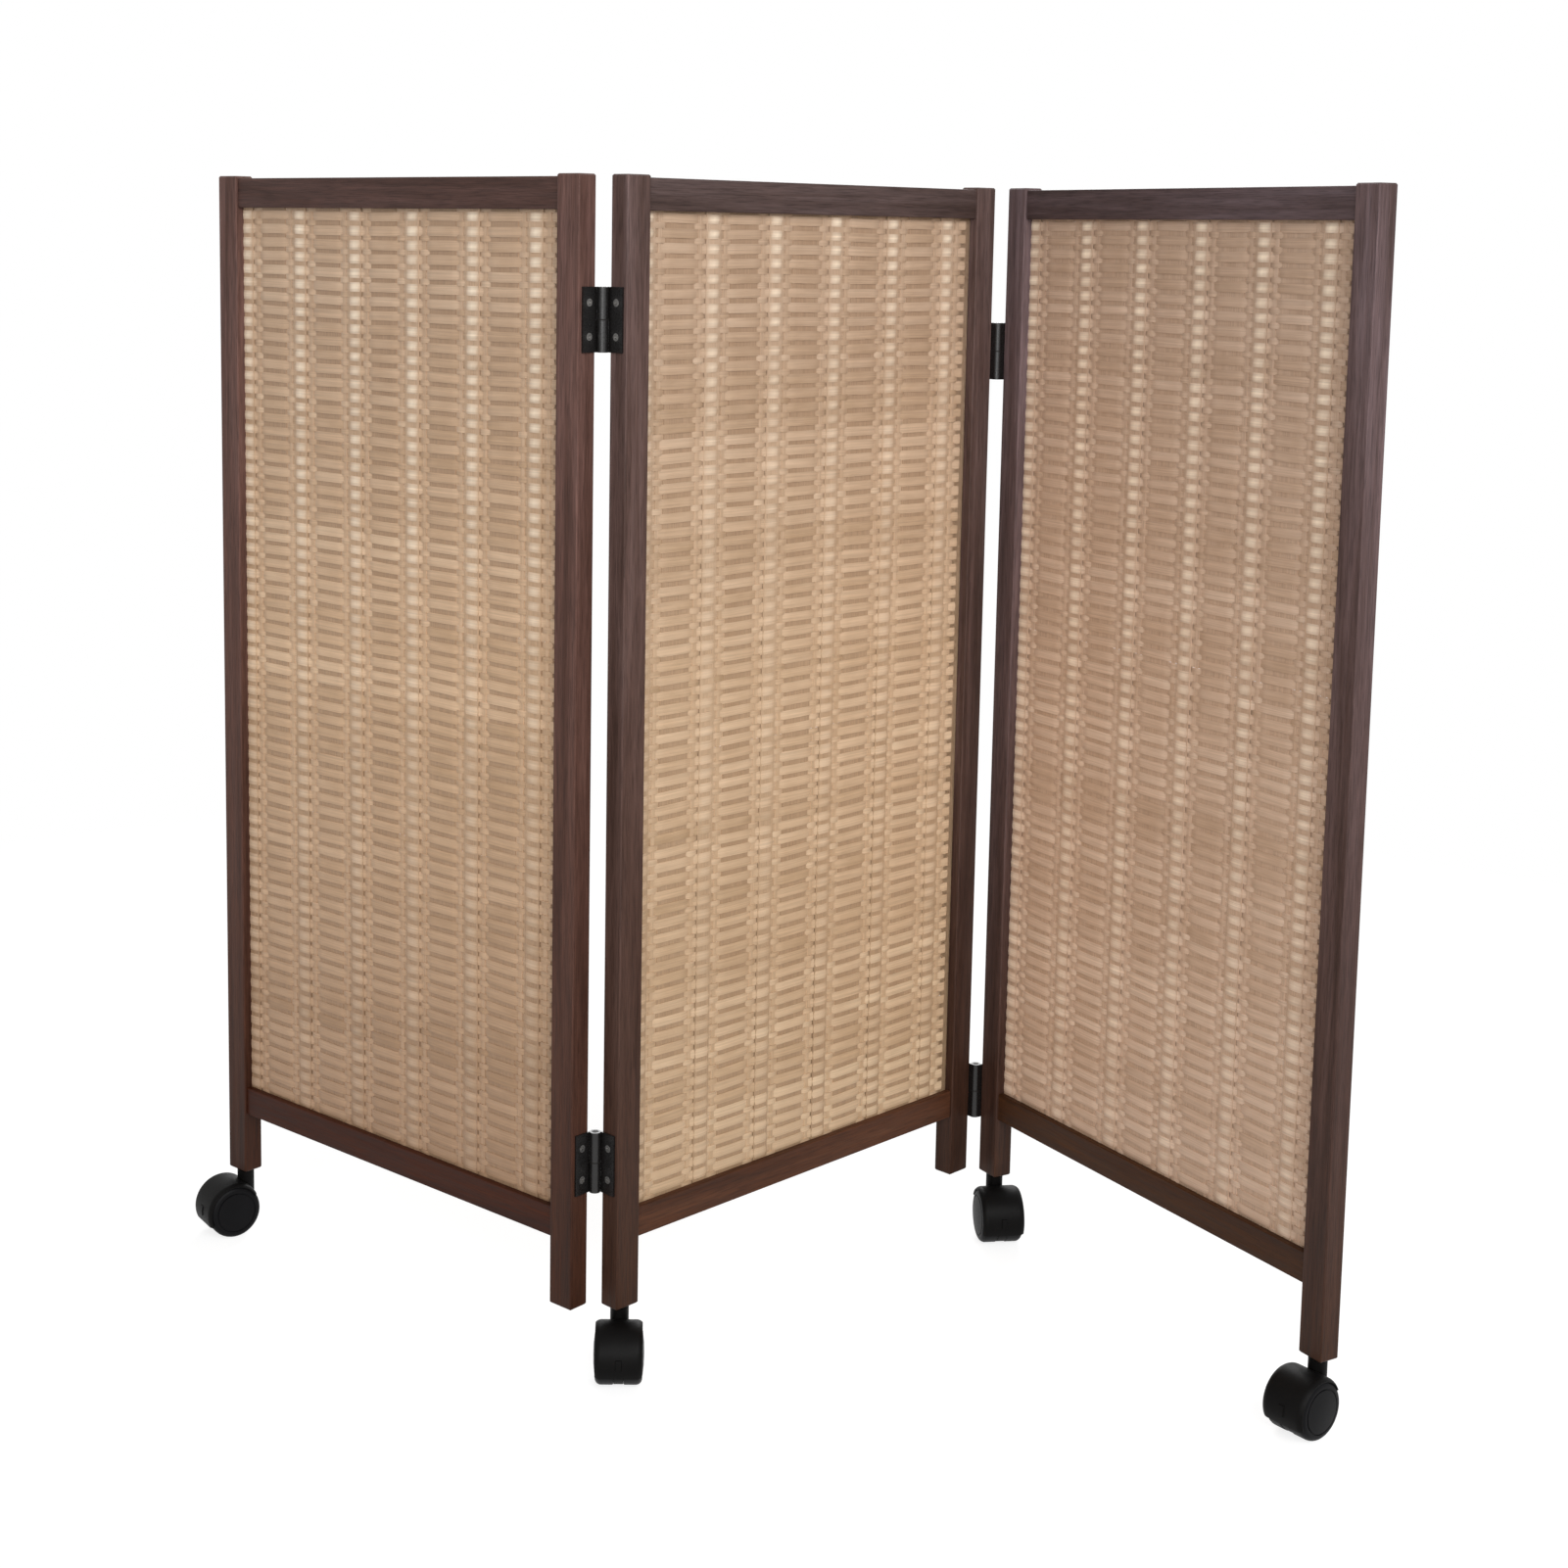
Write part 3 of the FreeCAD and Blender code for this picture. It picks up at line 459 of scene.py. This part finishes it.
def layRows(bm, layers, name, dice):
    matrix = panelMatrix(name)
    bends = bendPlaces()
    places = [bend[0] for bend in bends]
    left, right, low, high = weave["opening"]
    lowest, highest = weave["toneLimits"]
    phases = [dice.uniform(*weave["phases"]) for _ in weave["wander"]]
    waves = [(often, share, dice.uniform(*weave["phases"])) for often, share in weave["bands"]]

    # neighbouring strips wander together, so no gap opens between them
    def wander(u, z):
        moved = 0.0
        for (along, up, reach), phase in zip(weave["wander"], phases):
            moved += math.sin(u * along + z * up + phase) * reach
        return moved

    for row in range(weave["rows"] * 2 + 1):
        wide = row % 2 == 1
        height = weave["wideHeight"] if wide else weave["thinHeight"]
        height *= dice.uniform(*weave["uneven"])
        rise = row / (weave["rows"] * 2)
        level = low + (high - low) * rise + dice.uniform(-weave["jitter"], weave["jitter"])
        tone = dice.gauss(*weave["tone"]) + (0.0 if wide else weave["thinPaler"])
        tone = min(highest, max(lowest, tone))
        tone += sum(share * math.sin(rise * often + phase) for often, share, phase in waves)
        # painted highlight on the dots, weaker lower down
        fade = between(weave["dotHighlights"][name], rise)
        dotHighlights = [fade * dice.uniform(*weave["dotShare"]) for _ in range(weave["columnCount"])]
        # painted light and shade across the mat
        lowLeft, lowRight, topLeft, topRight = weave["paintedLightDrift"][name]
        leftDrift = lowLeft + (topLeft - lowLeft) * rise
        rightDrift = lowRight + (topRight - lowRight) * rise
        across = [-height / 2, 0.0, height / 2] if wide else [-height / 2, height / 2]
        seed = dice.uniform(*weave["seeds"])

        def move(i, j):
            u = places[i]
            depth = bends[i][1 if wide else 2]
            crown = weave["crown"] if wide and j == 1 else 0.0
            z = level + across[j] + wander(u, level)
            return matrix @ Vector((u, weave["middle"] + depth - crown, z))

        def look(i, j):
            offset, column = bends[i][3:]
            crest = wide and j == 1
            # painted highlight on the dots
            paintedHighlight = 0.0
            if wide:
                paintedHighlight = dotHighlights[column] * max(0.0, 1.0 - (offset / weave["dotReach"]) ** 2)
                paintedHighlight *= 1.0 if crest else weave["edgeHighlight"]
            # painted shade along the strip's edges
            edge = 0.0 if crest else weave["edgeShade"]
            share = (places[i] - left) / (right - left)
            return (tone + leftDrift + (rightDrift - leftDrift) * share, paintedHighlight, edge, seed)

        layStrip(bm, layers, places, across, move, look)


def layStakes(bm, layers, name, dice):
    matrix = panelMatrix(name)
    left, right, low, high = weave["opening"]
    leftEnd = left - weave["tuck"]
    rightEnd = right + weave["tuck"]
    ends = [low - weave["tuck"], high + weave["tuck"]]
    stakes = []
    for column in dotColumns():
        stakes.append((column, "dot"))
        stakes.append((column - weave["sideStake"], "side"))
        stakes.append((column + weave["sideStake"], "side"))
        stakes.append((column + weave["columnPitch"] / 2, "span"))
    for column, kind in stakes:
        width, depths = weave["stakes"][kind]
        # painted shade on the stake where it shows in the gaps between the strips
        paintedShade = weave["paintedGapShade"][name][kind]
        across = [min(column + width / 2, rightEnd), max(column - width / 2, leftEnd)]
        shown = across[0] - across[1]
        if shown < weave["leastStake"]:
            continue
        if shown < width * weave["wholeStake"]:
            paintedShade = [one * weave["edgeGapShade"] for one in paintedShade]
        tone = dice.uniform(*weave["stakeTone"])
        seed = dice.uniform(*weave["seeds"])

        for depth in depths:

            def move(i, j):
                return matrix @ Vector((across[j], weave["middle"] + depth, ends[i]))

            def look(i, j):
                return (tone, 0.0, paintedShade[i], seed)

            layStrip(bm, layers, ends, across, move, look)


def makeMat(name, material):
    dice = random.Random(f"mat {name}")
    bm = bmesh.new()
    # stripLook holds each point's tone with its painted drift, its painted highlight and its painted
    # shade
    layers = [bm.verts.layers.float_vector.new(key) for key in ("stripPlace", "stripLook")]
    layRows(bm, layers, name, dice)
    layStakes(bm, layers, name, dice)
    bmesh.ops.solidify(bm, geom=bm.faces[:], thickness=weave["thickness"])
    bmesh.ops.recalc_face_normals(bm, faces=bm.faces[:])
    panel = f"{name}_panel"
    node = f"{panel}_woven_mat"
    return newPiece(
        f"wovenMat_{name}", bm, panel, material, [node], weave["sharp"]
    )


for name in panels:
    mat = makeMat(name, makeStrip(f"splitRattan_{name}", name))
    print("mat", name, len(mat.data.polygons), "faces")

# black hinge enamel, steel, moulded plastic and raw dowels
finishes = {
    "hingeEnamel": {
        "color": (0.0050, 0.0042, 0.0040),
        "roughness": 0.30,
        "gloss": 0.50,
        "grain": 900.0,
        "relief": 0.25,
    },
    "brightSteel": {
        "color": (0.58, 0.57, 0.56),
        "roughness": 0.30,
        "metallic": 1.0,
        "grain": 1500.0,
        "relief": 0.15,
    },
    "darkSteel": {
        "color": (0.016, 0.014, 0.013),
        "roughness": 0.50,
        "gloss": 0.10,
        "grain": 1500.0,
        "relief": 0.15,
    },
    "screwSteel": {
        "color": (0.34, 0.33, 0.32),
        "roughness": 0.34,
        "metallic": 1.0,
        "grain": 1800.0,
        "relief": 0.2,
    },
    "hoodPlastic": {
        "color": (0.0030, 0.0027, 0.0026),
        "roughness": 0.46,
        "gloss": 0.07,
        "grain": 1400.0,
        "relief": 0.35,
    },
    "wheelPlastic": {
        "color": (0.0040, 0.0039, 0.0045),
        "roughness": 0.44,
        "gloss": 0.08,
        "grain": 1400.0,
        "relief": 0.25,
    },
    "dowelWood": {"color": (0.50, 0.36, 0.22), "roughness": 0.6, "grain": 500.0, "relief": 0.3},
}

# what all of them share
finishLook = {
    "grainNoise": {"detail": 4.0, "roughness": 0.6},
    "cloud": {"scale": 60.0, "detail": 3.0, "roughness": 0.5},
    "cloudShade": (0.82, 1.15),
    "smoother": 0.08,
    "rougher": 0.10,
    "reliefDepth": 0.0002,
    "metallic": 0.0,
    "gloss": 0.5,
}

# the finish goes by the end of the node's name
nodeFinishes = {
    "screws": "screwSteel",
    "washers": "darkSteel",
    "_pin": "darkSteel",
    "_stem": "brightSteel",
    "_axle": "brightSteel",
    "_leaf": "hingeEnamel",
    "_socket": "hoodPlastic",
    "dowels": "dowelWood",
}


def makeFinish(name):
    values = {**finishLook, **finishes[name]}
    material, tree, shader = newMaterial(name)
    place = objectPlace(tree)
    grain = noise(tree, place, values["grain"], **values["grainNoise"])
    cloud = noise(tree, place, **values["cloud"])
    shade = spread(tree, cloud, *noiseRange, *values["cloudShade"])
    color = mixColor(tree, 1.0, (*values["color"], 1.0), shade, "MULTIPLY")
    link(tree, color, shader, "Base Color")
    smooth = values["roughness"] - values["smoother"]
    rough = values["roughness"] + values["rougher"]
    link(tree, spread(tree, grain, *noiseRange, smooth, rough), shader, "Roughness")
    link(tree, bump(tree, grain, values["relief"], values["reliefDepth"]), shader, "Normal")
    shader.inputs["Metallic"].default_value = values["metallic"]
    shader.inputs["Specular IOR Level"].default_value = values["gloss"]
    return material


finishMaterials = {name: makeFinish(name) for name in finishes}
for ending, finish in nodeFinishes.items():
    for name in nodes:
        if name.endswith(ending):
            finishNode(name, finishMaterials[finish])
print("metal and plastic done")


def arc(center, radius, first, last, count):
    turns = [math.radians(first + (last - first) * i / (count - 1)) for i in range(count)]
    return [(center[0] + radius * math.cos(t), center[1] + radius * math.sin(t)) for t in turns]


# hollow lip of each hinge leaf that follows the other leaf's knuckle
hingeLip = {
    "radius": 0.00462,
    "points": 6,
    "faces": (0.00292, 0.00448),  # from the pin's axis to both faces of the leaf
    "root": 0.0042,
    "rise": (-0.0004, 0.0249),
    "heights": {
        "left_fold": {"upper": 0.790, "lower": 0.120},
        "right_fold": {"upper": 0.757, "lower": 0.076},
    },
    # panel, place of the pin on it, and the axis of the half turn that lays the leaf there
    "leaves": {
        ("left_fold", "left_leaf"): ("left", (0.4445, 0.0221), None),
        ("left_fold", "right_leaf"): ("middle", (-0.0045, 0.0221), "Y"),
        ("right_fold", "left_leaf"): ("middle", (0.4445, -0.0036), "X"),
        ("right_fold", "right_leaf"): ("right", (-0.0045, -0.0036), "Z"),
    },
}


def makeLip(fold, level, leaf):
    panel, (along, deep), axis = hingeLip["leaves"][fold, leaf]
    radius = hingeLip["radius"]
    near, far = hingeLip["faces"]
    low, high = hingeLip["rise"]
    first = 180.0 + math.degrees(math.acos(near / radius))
    last = 180.0 + math.degrees(math.acos(far / radius))
    outline = arc((0.0, 0.0), radius, first, last, hingeLip["points"])
    outline += [(-far, -hingeLip["root"]), (-near, -hingeLip["root"])]
    bm = bmesh.new()
    foot = bm.faces.new([bm.verts.new((x, y, low)) for x, y in outline])
    raised = bmesh.ops.extrude_face_region(bm, geom=[foot])["geom"]
    top = [one for one in raised if isinstance(one, bmesh.types.BMVert)]
    bmesh.ops.translate(bm, verts=top, vec=(0, 0, high - low))
    bmesh.ops.recalc_face_normals(bm, faces=bm.faces[:])
    turn = Matrix.Rotation(math.pi, 4, axis) if axis else Matrix.Identity(4)
    place = Matrix.Translation((along, deep, hingeLip["heights"][fold][level]))
    bmesh.ops.transform(bm, matrix=panelMatrix(panel) @ place @ turn, verts=bm.verts[:])
    enamel = finishMaterials["hingeEnamel"]
    newPiece(f"hingeLip_{fold}_{level}_{leaf}", bm, f"{panel}_panel", enamel, [])


for fold, leaf in hingeLip["leaves"]:
    for level in ("upper", "lower"):
        makeLip(fold, level, leaf)
print("hinges done")

# wheel turned round its axle, with a sunk ring between tread and disc
wheel = {
    "axle": (0.017, 0.0, 0.024),
    "bore": 0.00305,
    "boreEnd": 0.015,
    "inner": 0.0040,
    "outer": 0.0190,
    "radius": 0.024,
    "chamfer": 0.0008,
    "shoulder": 0.005,
    "shoulderPoints": 8,
    "ring": (0.0172, 0.0182),
    "ringDepth": 0.0006,
    "ringSlope": 0.0002,
    "discRise": 0.0002,  # the disc stands a little over the tread's face
    "dome": 0.0012,
    "domeBulge": (0.5, 0.8),  # place on the disc and share of the dome's height there
    "steps": 72,
    "sharp": 32,
}


# points are distances from the axle and places along it
def turnProfile(bm, points, steps, angle, start=0.0):
    verts = []
    for radius, along in points:
        verts.append(bm.verts.new((radius * math.cos(start), along, radius * math.sin(start))))
    edges = [bm.edges.new(pair) for pair in zip(verts, verts[1:])]
    bmesh.ops.spin(
        bm,
        geom=verts + edges,
        cent=(0, 0, 0),
        axis=(0, -1, 0),
        angle=angle,
        steps=steps,
        use_merge=angle >= 2 * math.pi,
    )
    bmesh.ops.remove_doubles(bm, verts=bm.verts[:], dist=mergeGap)


def makeWheel(name, side):
    bm = bmesh.new()
    inner = wheel["inner"]
    outer = wheel["outer"]
    radius = wheel["radius"]
    shoulder = wheel["shoulder"]
    chamfer = wheel["chamfer"]
    slope = wheel["ringSlope"]
    near, far = wheel["ring"]
    sunk = outer - wheel["ringDepth"]
    face = outer + wheel["discRise"]
    halfway, bulge = wheel["domeBulge"]
    points = [(0.0, wheel["boreEnd"]), (wheel["bore"], wheel["boreEnd"]), (wheel["bore"], inner)]
    points += [(radius - chamfer, inner), (radius, inner + chamfer)]
    points += arc((radius - shoulder, outer - shoulder), shoulder, 0, 90, wheel["shoulderPoints"])
    points += [(far, outer), (far - slope, sunk), (near + slope, sunk), (near, face)]
    points += [(near * halfway, face + wheel["dome"] * bulge), (0.0, face + wheel["dome"])]
    turnProfile(bm, points, wheel["steps"], 2 * math.pi)
    bmesh.ops.recalc_face_normals(bm, faces=bm.faces[:])
    turn = Matrix.Identity(4) if side == "left" else Matrix.Rotation(math.pi, 4, "Z")
    place = casterMatrix(name) @ Matrix.Translation(wheel["axle"]) @ turn
    bmesh.ops.transform(bm, matrix=place, verts=bm.verts[:])
    body = f"{name}_{side}_wheel"
    node = f"{name}_caster_{side}_wheel"
    plastic = finishMaterials["wheelPlastic"]
    newPiece(
        f"casterWheel_{name}_{side}", bm, body, plastic, [node], wheel["sharp"]
    )


# hood: rounded shell over both wheels, web between them and neck under the post
hood = {
    "inner": 0.0245,
    "wall": 0.0015,
    "shoulder": (0.019, 0.014),
    "cover": 45.0,  # how far the shell reaches down over the wheel's shoulder
    "coverPoints": 7,
    "lipBulge": 0.0003,
    "start": -24.0,
    "sweep": 171.0,
    "taper": 45.0,  # the shell runs out thin towards the neck
    "thinning": 0.045,
    "steps": 60,
    "webRadius": 0.0236,
    "webWidth": 0.0076,
    "webSteps": 72,
    "neckRadius": 0.0075,
    "neck": (0.0345, 0.0560),
    "neckFoot": ((0.0075, 0.0485), (-0.0075, 0.0350)),  # slanted end over the wheels
    "neckSteps": 48,
    "recess": {
        "across": 0.0026,
        "angles": (-8.0, 14.0),
        "depth": 0.0008,
        "inset": 0.0004,
        "wallShare": 0.7,  # faces further out than this in the wall are its outside
        "acrossShare": 0.5,
    },
    "sharp": 32,
}


def sweepShell(bm):
    center, side = hood["shoulder"]
    inside = hood["inner"] - center
    outside = inside + hood["wall"]
    outer = arc((center, side), outside, hood["cover"], 0, hood["coverPoints"])
    inner = arc((center, side), inside, 0, hood["cover"], hood["coverPoints"])
    tip = math.radians(hood["cover"])
    bulge = hood["lipBulge"]
    lip = (
        center + (inside + outside) / 2 * math.cos(tip) - bulge * math.sin(tip),
        side + (inside + outside) / 2 * math.sin(tip) + bulge * math.cos(tip),
    )
    across = hood["recess"]["across"]
    top = [(hood["inner"] + hood["wall"], along) for along in (across, -across)]
    under = [(hood["inner"], along) for along in (-across, across)]
    points = outer + top + [(r, -a) for r, a in outer[::-1]]
    points += [(lip[0], -lip[1])] + [(r, -a) for r, a in inner[::-1]]
    points += under + inner + [lip] + outer[:1]
    start = math.radians(hood["start"])
    turnProfile(bm, points, hood["steps"], math.radians(hood["sweep"]), start)
    ends = [edge for edge in bm.edges if edge.is_boundary]
    bmesh.ops.holes_fill(bm, edges=ends, sides=0)
    thinFrom = hood["start"] + hood["sweep"] - hood["taper"]
    for vert in bm.verts:
        past = math.degrees(math.atan2(vert.co.z, vert.co.x)) - thinFrom
        if past > 0.0:
            thinner = 1.0 - hood["thinning"] * min(1.0, past / hood["taper"]) ** 2
            vert.co.x *= thinner
            vert.co.z *= thinner


# shallow hollow in the back of the shell
def pressRecess(bm):
    recess = hood["recess"]
    low, high = recess["angles"]
    outside = hood["inner"] + hood["wall"] * recess["wallShare"]
    chosen = []
    for one in bm.faces:
        spot = one.calc_center_median()
        turn = math.degrees(math.atan2(spot.z, spot.x))
        far = math.hypot(spot.x, spot.z) > outside
        if far and abs(spot.y) < recess["across"] * recess["acrossShare"] and low < turn < high:
            chosen.append(one)
    bmesh.ops.inset_region(
        bm, faces=chosen, thickness=recess["inset"], depth=-recess["depth"], use_even_offset=True
    )
    bmesh.ops.recalc_face_normals(bm, faces=bm.faces[:])


def addRound(bm, radius, length, steps):
    return bmesh.ops.create_cone(
        bm, cap_ends=True, segments=steps, radius1=radius, radius2=radius, depth=length
    )["verts"]


def addNeck(bm):
    low, high = hood["neck"]
    neck = addRound(bm, hood["neckRadius"], high - low, hood["neckSteps"])
    bmesh.ops.translate(bm, verts=neck, vec=(0, 0, (low + high) / 2))
    (front, frontRise), (rear, rearRise) = hood["neckFoot"]
    slope = Vector((rearRise - frontRise, 0.0, front - rear))
    around = {edge for vert in neck for edge in vert.link_edges}
    caps = {one for vert in neck for one in vert.link_faces}
    cut = bmesh.ops.bisect_plane(
        bm,
        geom=[*neck, *around, *caps],
        plane_co=(front, 0.0, frontRise),
        plane_no=slope,
        clear_inner=True,
    )["geom_cut"]
    rim = [one for one in cut if isinstance(one, bmesh.types.BMEdge)]
    bmesh.ops.edgenet_fill(bm, edges=rim)


def makeHood(name):
    bm = bmesh.new()
    sweepShell(bm)
    pressRecess(bm)
    web = addRound(bm, hood["webRadius"], hood["webWidth"], hood["webSteps"])
    flat = Matrix.Rotation(math.pi / 2, 3, "X")
    bmesh.ops.rotate(bm, verts=web, cent=(0, 0, 0), matrix=flat)
    bmesh.ops.transform(bm, matrix=Matrix.Translation(wheel["axle"]), verts=bm.verts[:])
    addNeck(bm)
    bmesh.ops.transform(bm, matrix=casterMatrix(name), verts=bm.verts[:])
    body = f"{name}_caster"
    node = f"{name}_caster_hood"
    plastic = finishMaterials["hoodPlastic"]
    newPiece(f"casterHood_{name}", bm, body, plastic, [node], hood["sharp"])


for name in casters:
    makeHood(name)
    for side in ("left", "right"):
        makeWheel(name, side)
print("casters done")

# studio: pale floor that stays white to the eye and keeps the shadow
studio = {
    "world": 0.31,
    "floorSize": 9.0,
    "floorColor": (0.55, 0.55, 0.55, 1.0),
    "floorRoughness": 0.9,
    "floorShadow": 0.35,
    "floorLight": 0.62,  # light that the open floor gets, made up to white by its glow
    "floorFade": (0.9, 1.9),  # from the middle, where the floor goes over to plain white
    "aim": (0.0, 0.0, 0.5),
    "lamps": {
        "keyLamp": {"place": (1.4, -3.2, 2.5), "size": 2.4, "power": 90.0},
        "fillLamp": {"place": (-0.6, -3.4, 1.6), "size": 2.6, "power": 61.0},
        "backLamp": {"place": (0.4, 3.2, 2.2), "size": 2.4, "power": 72.0},
    },
}


def seenDirectly(tree):
    path = addNode(tree, "ShaderNodeLightPath").outputs
    seen = twoValues(tree, "MAXIMUM", path["Is Camera Ray"], path["Is Glossy Ray"])
    return twoValues(tree, "MAXIMUM", seen, path["Is Transmission Ray"])


def mixShaders(tree, share, first, second):
    node = addNode(tree, "ShaderNodeMixShader", {0: share})
    link(tree, first.outputs[0], node, 1)
    link(tree, second.outputs[0], node, 2)
    return node


def makeFloor():
    bm = bmesh.new()
    bmesh.ops.create_grid(bm, x_segments=1, y_segments=1, size=studio["floorSize"])
    mesh = bpy.data.meshes.new("studioFloor")
    bm.to_mesh(mesh)
    bm.free()
    floor = bpy.data.objects.new("studioFloor", mesh)
    scene.collection.objects.link(floor)
    material, tree, shader = newMaterial("paleFloor")
    shader.inputs["Base Color"].default_value = studio["floorColor"]
    shader.inputs["Roughness"].default_value = studio["floorRoughness"]
    shader.inputs["Specular IOR Level"].default_value = 0.0
    share = studio["floorShadow"]
    rest = 1.0 - share * studio["floorLight"]
    lit = addNode(tree, "ShaderNodeBsdfDiffuse", {"Color": (share, share, share, 1.0)})
    glow = addNode(tree, "ShaderNodeEmission", {"Color": plainWhite, "Strength": rest})
    both = addNode(tree, "ShaderNodeAddShader")
    link(tree, lit.outputs[0], both, 0)
    link(tree, glow.outputs[0], both, 1)
    place = objectPlace(tree)
    away = addNode(tree, "ShaderNodeVectorMath", {0: place}, operation="LENGTH").outputs["Value"]
    fade = spread(tree, away, *studio["floorFade"], 0.0, 1.0)
    plain = addNode(tree, "ShaderNodeEmission", {"Color": plainWhite, "Strength": 1.0})
    shown = mixShaders(tree, fade, both, plain)
    surface = mixShaders(tree, seenDirectly(tree), shader, shown)
    link(tree, surface.outputs[0], tree.nodes["Material Output"], "Surface")
    mesh.materials.append(material)


def makeWorld():
    world = bpy.data.worlds.new("studioWorld")
    scene.world = world
    world.use_nodes = True
    tree = world.node_tree
    ground = tree.nodes["Background"]
    ground.inputs["Color"].default_value = plainWhite
    strength = spread(tree, seenDirectly(tree), 0.0, 1.0, studio["world"], 1.0)
    link(tree, strength, ground, "Strength")


def makeLamp(name, values):
    lamp = bpy.data.lights.new(name, "AREA")
    lamp.shape = "DISK"
    lamp.size = values["size"]
    lamp.energy = values["power"]
    holder = bpy.data.objects.new(name, lamp)
    scene.collection.objects.link(holder)
    holder.location = values["place"]
    aim = Vector(studio["aim"]) - Vector(values["place"])
    holder.rotation_euler = aim.to_track_quat("-Z", "Y").to_euler()


makeFloor()
makeWorld()
for name, values in studio["lamps"].items():
    makeLamp(name, values)

# camera fitted to the panel corners in the photograph, in its pixels
view = {
    "place": (-0.0606979, -1.9296976, 0.9121),
    "yaw": 0.0202,
    "pitch": 0.1293,
    "roll": 0.0149,
    "focal": 2450.1,
    "centre": (720.0, 560.0),
    "image": 1601.0,
    "sensor": 36.0,
    "clip": (0.02, 50.0),
}


def makeCamera():
    yaw, pitch, roll = view["yaw"], view["pitch"], view["roll"]
    flat = math.cos(pitch)
    ahead = Vector((math.sin(yaw) * flat, math.cos(yaw) * flat, -math.sin(pitch)))
    flatRight = ahead.cross(Vector((0, 0, 1))).normalized()
    flatUp = flatRight.cross(ahead)
    right = math.cos(roll) * flatRight + math.sin(roll) * flatUp
    up = -math.sin(roll) * flatRight + math.cos(roll) * flatUp
    data = bpy.data.cameras.new("photoCamera")
    data.sensor_width = view["sensor"]
    data.lens = view["focal"] / view["image"] * view["sensor"]
    data.shift_x = (view["image"] / 2 - view["centre"][0]) / view["image"]
    data.shift_y = (view["centre"][1] - view["image"] / 2) / view["image"]
    data.clip_start, data.clip_end = view["clip"]
    camera = bpy.data.objects.new("photoCamera", data)
    scene.collection.objects.link(camera)
    turn = Matrix((right, up, -ahead)).transposed().to_4x4()
    camera.matrix_world = Matrix.Translation(view["place"]) @ turn
    scene.camera = camera


makeCamera()
print("studio and camera done")
